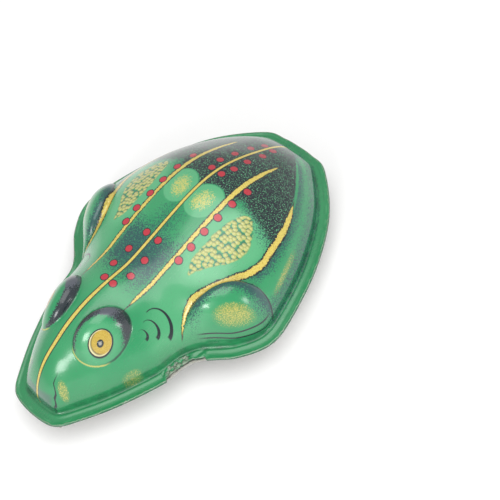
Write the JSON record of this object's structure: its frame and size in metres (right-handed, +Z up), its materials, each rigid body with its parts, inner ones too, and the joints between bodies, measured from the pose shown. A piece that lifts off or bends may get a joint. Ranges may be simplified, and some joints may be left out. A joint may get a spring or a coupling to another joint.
{
  "type": "wind-up jumping frog toy",
  "caption": "Tin wind-up jumping frog: pressed printed shell with eye domes and leg bumps on a flat base plate, clockwork inside, key and kicking hind legs below.",
  "frame": {"origin": "centre of the bounding box on the table, under the middle of the body", "axes": "+Y towards the tail (the snout is at -Y), +Z up, +X towards the frog's left side"},
  "size_m": [0.0858, 0.125, 0.0374],
  "materials": {
    "printed_tin": "gloss lithographed print",
    "green_tin": "gloss enamel",
    "tinplate": "satin tinplate",
    "key_tin": "satin",
    "turned_steel": "turned",
    "cut_steel": "satin",
    "brass_sheet": "satin",
    "spring_steel": "blued"
  },
  "bodies": {
    "chassis": {"top_shell": "printed_tin", "shell_tabs": "tinplate", "base_plate": "tinplate", "lower_plate": "brass_sheet", "upper_plate": "brass_sheet", "pillars": "turned_steel", "mainspring": "spring_steel", "kicker_pin": "turned_steel", "kicker_brackets": "tinplate", "front_foot_left": "green_tin", "front_foot_right": "green_tin", "rivets": "turned_steel"},
    "winding": {"winding_arbor": "turned_steel", "key": "key_tin", "great_wheel": "brass_sheet", "ratchet_wheel": "cut_steel", "click_rivet": "turned_steel", "click_spring": "spring_steel"},
    "click_body": {"click": "cut_steel"},
    "second": {"second_arbor": "turned_steel", "second_pinion": "cut_steel", "second_wheel": "brass_sheet"},
    "cam": {"cam_arbor": "turned_steel", "cam_pinion": "cut_steel", "snail_cam": "cut_steel", "third_wheel": "brass_sheet"},
    "fly": {"fly_arbor": "turned_steel", "fly_pinion": "cut_steel", "flywheel": "brass_sheet"},
    "kicker": {"kicker_tube": "turned_steel", "kicker_arm": "turned_steel", "hind_leg_left": "green_tin", "hind_leg_right": "green_tin", "hind_foot_left": "green_tin", "hind_foot_right": "green_tin", "kicker_spring": "spring_steel"}
  },
  "joints": [
    {"name": "key_turn", "type": "hinge", "parent": "chassis", "child": "winding", "pos_m": [0, -0.008, 0.005], "axis": [0, 0, 1], "continuous": true},
    {"name": "click_swing", "type": "hinge", "parent": "winding", "child": "click_body", "pos_m": [0.0055, 0.00153, 0.017], "axis": [0, 0, 1], "range_deg": [0, 8], "deforming": ["click_spring"]},
    {"name": "second_turn", "type": "hinge", "parent": "chassis", "child": "second", "pos_m": [-0.009, 0.00805, 0.02], "axis": [0, 0, 1], "continuous": true},
    {"name": "cam_turn", "type": "hinge", "parent": "chassis", "child": "cam", "pos_m": [0, 0.02139, 0.02], "axis": [0, 0, 1], "continuous": true},
    {"name": "fly_turn", "type": "hinge", "parent": "chassis", "child": "fly", "pos_m": [0.00836, 0.02724, 0.02], "axis": [0, 0, 1], "continuous": true},
    {"name": "kick", "type": "hinge", "parent": "chassis", "child": "kicker", "pos_m": [0, 0.01299, 0.0065], "axis": [1, 0, 0], "range_deg": [0, 12], "stiffness_Nm_per_rad": 0.02, "springref_deg": -57.3, "deforming": ["kicker_spring"]}
  ],
  "couplings": [
    {"joint": "second_turn", "follows": "key_turn", "ratio": -3.6},
    {"joint": "cam_turn", "follows": "key_turn", "ratio": 12.96},
    {"joint": "fly_turn", "follows": "key_turn", "ratio": -31.104}
  ]
}
